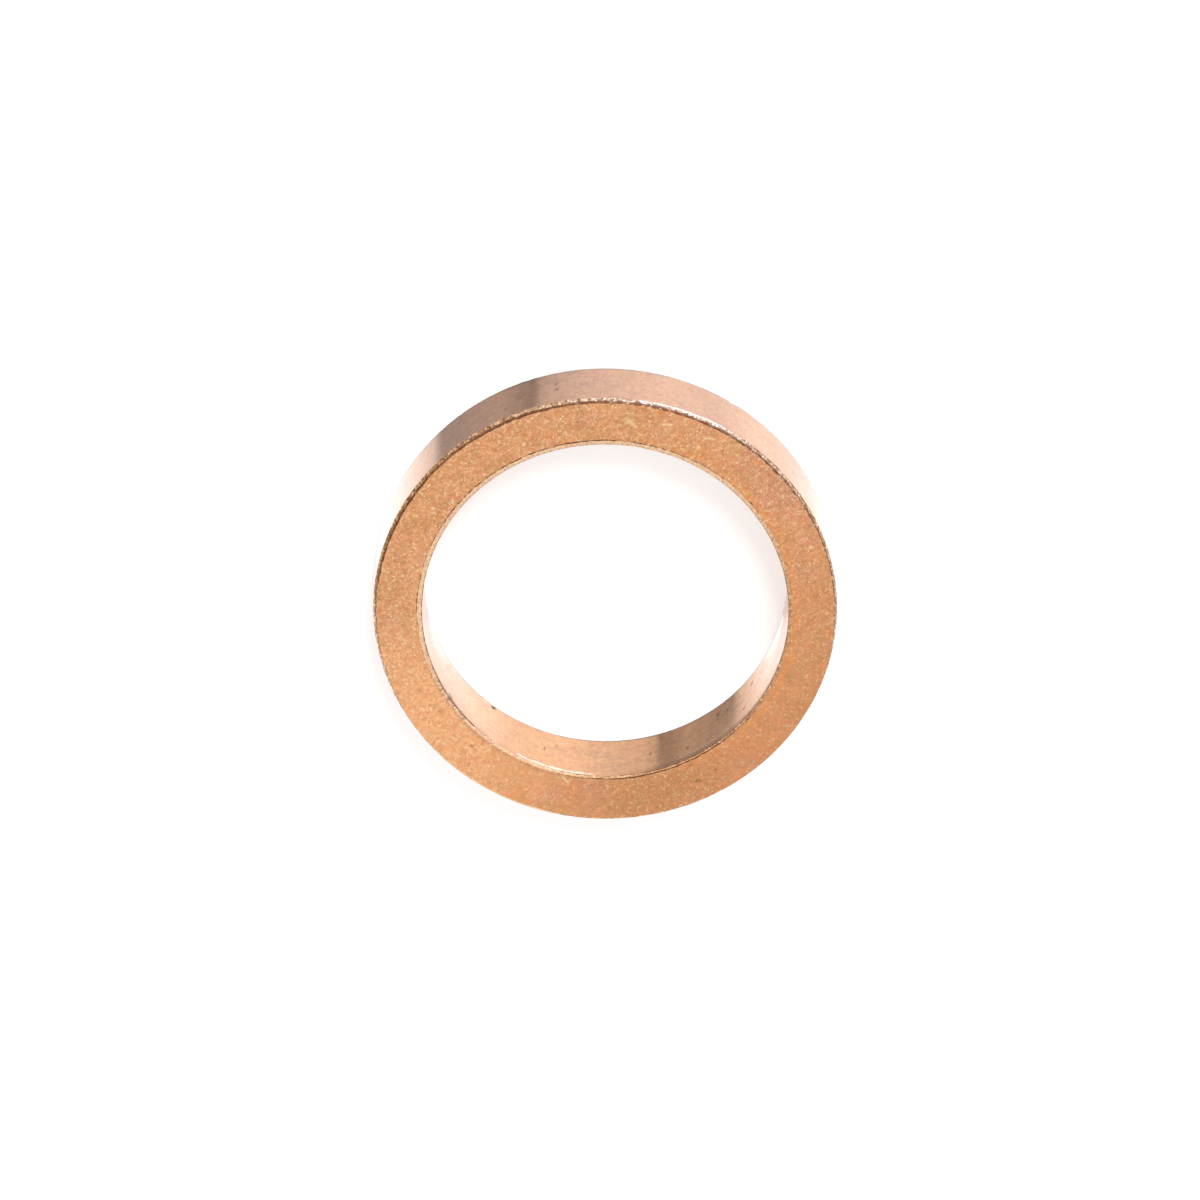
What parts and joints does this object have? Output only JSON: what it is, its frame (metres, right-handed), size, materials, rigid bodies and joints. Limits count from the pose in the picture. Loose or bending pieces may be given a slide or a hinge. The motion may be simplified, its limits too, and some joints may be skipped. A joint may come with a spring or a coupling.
{
  "type": "bushing",
  "caption": "Short plain cylindrical bushing of sintered bronze, with chamfered rims and bore, that presses into a housing and carries a shaft.",
  "frame": {"origin": "centre of the lower end face, on the bore's axis", "axes": "+Z along the bore, from the lower end face to the upper one"},
  "size_m": [0.019, 0.019, 0.0034],
  "materials": {
    "sintered_bronze": "granular sintered end faces, burnished sized walls"
  },
  "bodies": {
    "root": {"bushing": "sintered_bronze"}
  },
  "joints": []
}
